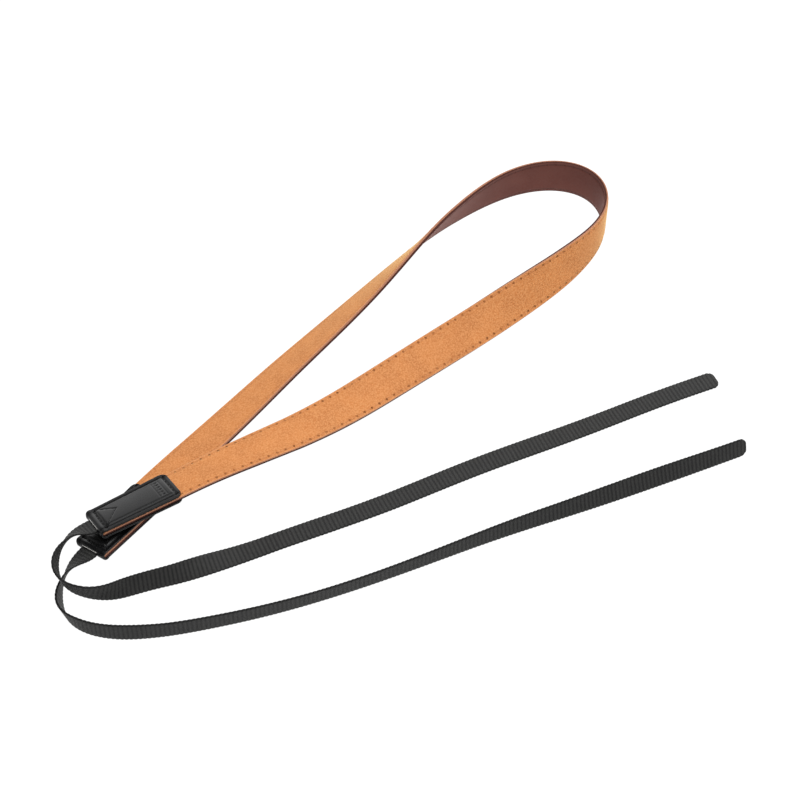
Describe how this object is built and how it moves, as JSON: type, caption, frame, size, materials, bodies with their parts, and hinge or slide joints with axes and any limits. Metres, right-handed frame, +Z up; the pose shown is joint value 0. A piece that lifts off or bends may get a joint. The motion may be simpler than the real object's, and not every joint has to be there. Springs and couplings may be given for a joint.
{
  "type": "remote controller neck lanyard",
  "caption": "Neck lanyard lying flat: a two-layer leather strap loop standing on its edge, folded leather tabs on its ends and two long ribbed webbing tails.",
  "frame": {"origin": "on the surface that the lanyard lies on, under the middle of its bounding box", "axes": "+X along the upper tab towards the neck loop, which is the lanyard's long way; +Z up, normal to the surface; the webbing tails lie on the -Y side"},
  "size_m": [0.3642, 0.211, 0.0274],
  "materials": {
    "tan_leather": "matt, fine grain, small stitches along both edges",
    "brown_lining": "smooth, soft sheen",
    "black_leather": "smooth, soft gloss, puffed panel, stitched edge",
    "black_webbing": "woven, cross ribs, heat-sealed ends"
  },
  "bodies": {
    "root": {"strap_face": "tan_leather", "strap_lining": "brown_lining", "tab_upper": "black_leather", "tab_lower": "black_leather", "tail_upper": "black_webbing", "tail_lower": "black_webbing"}
  },
  "joints": []
}
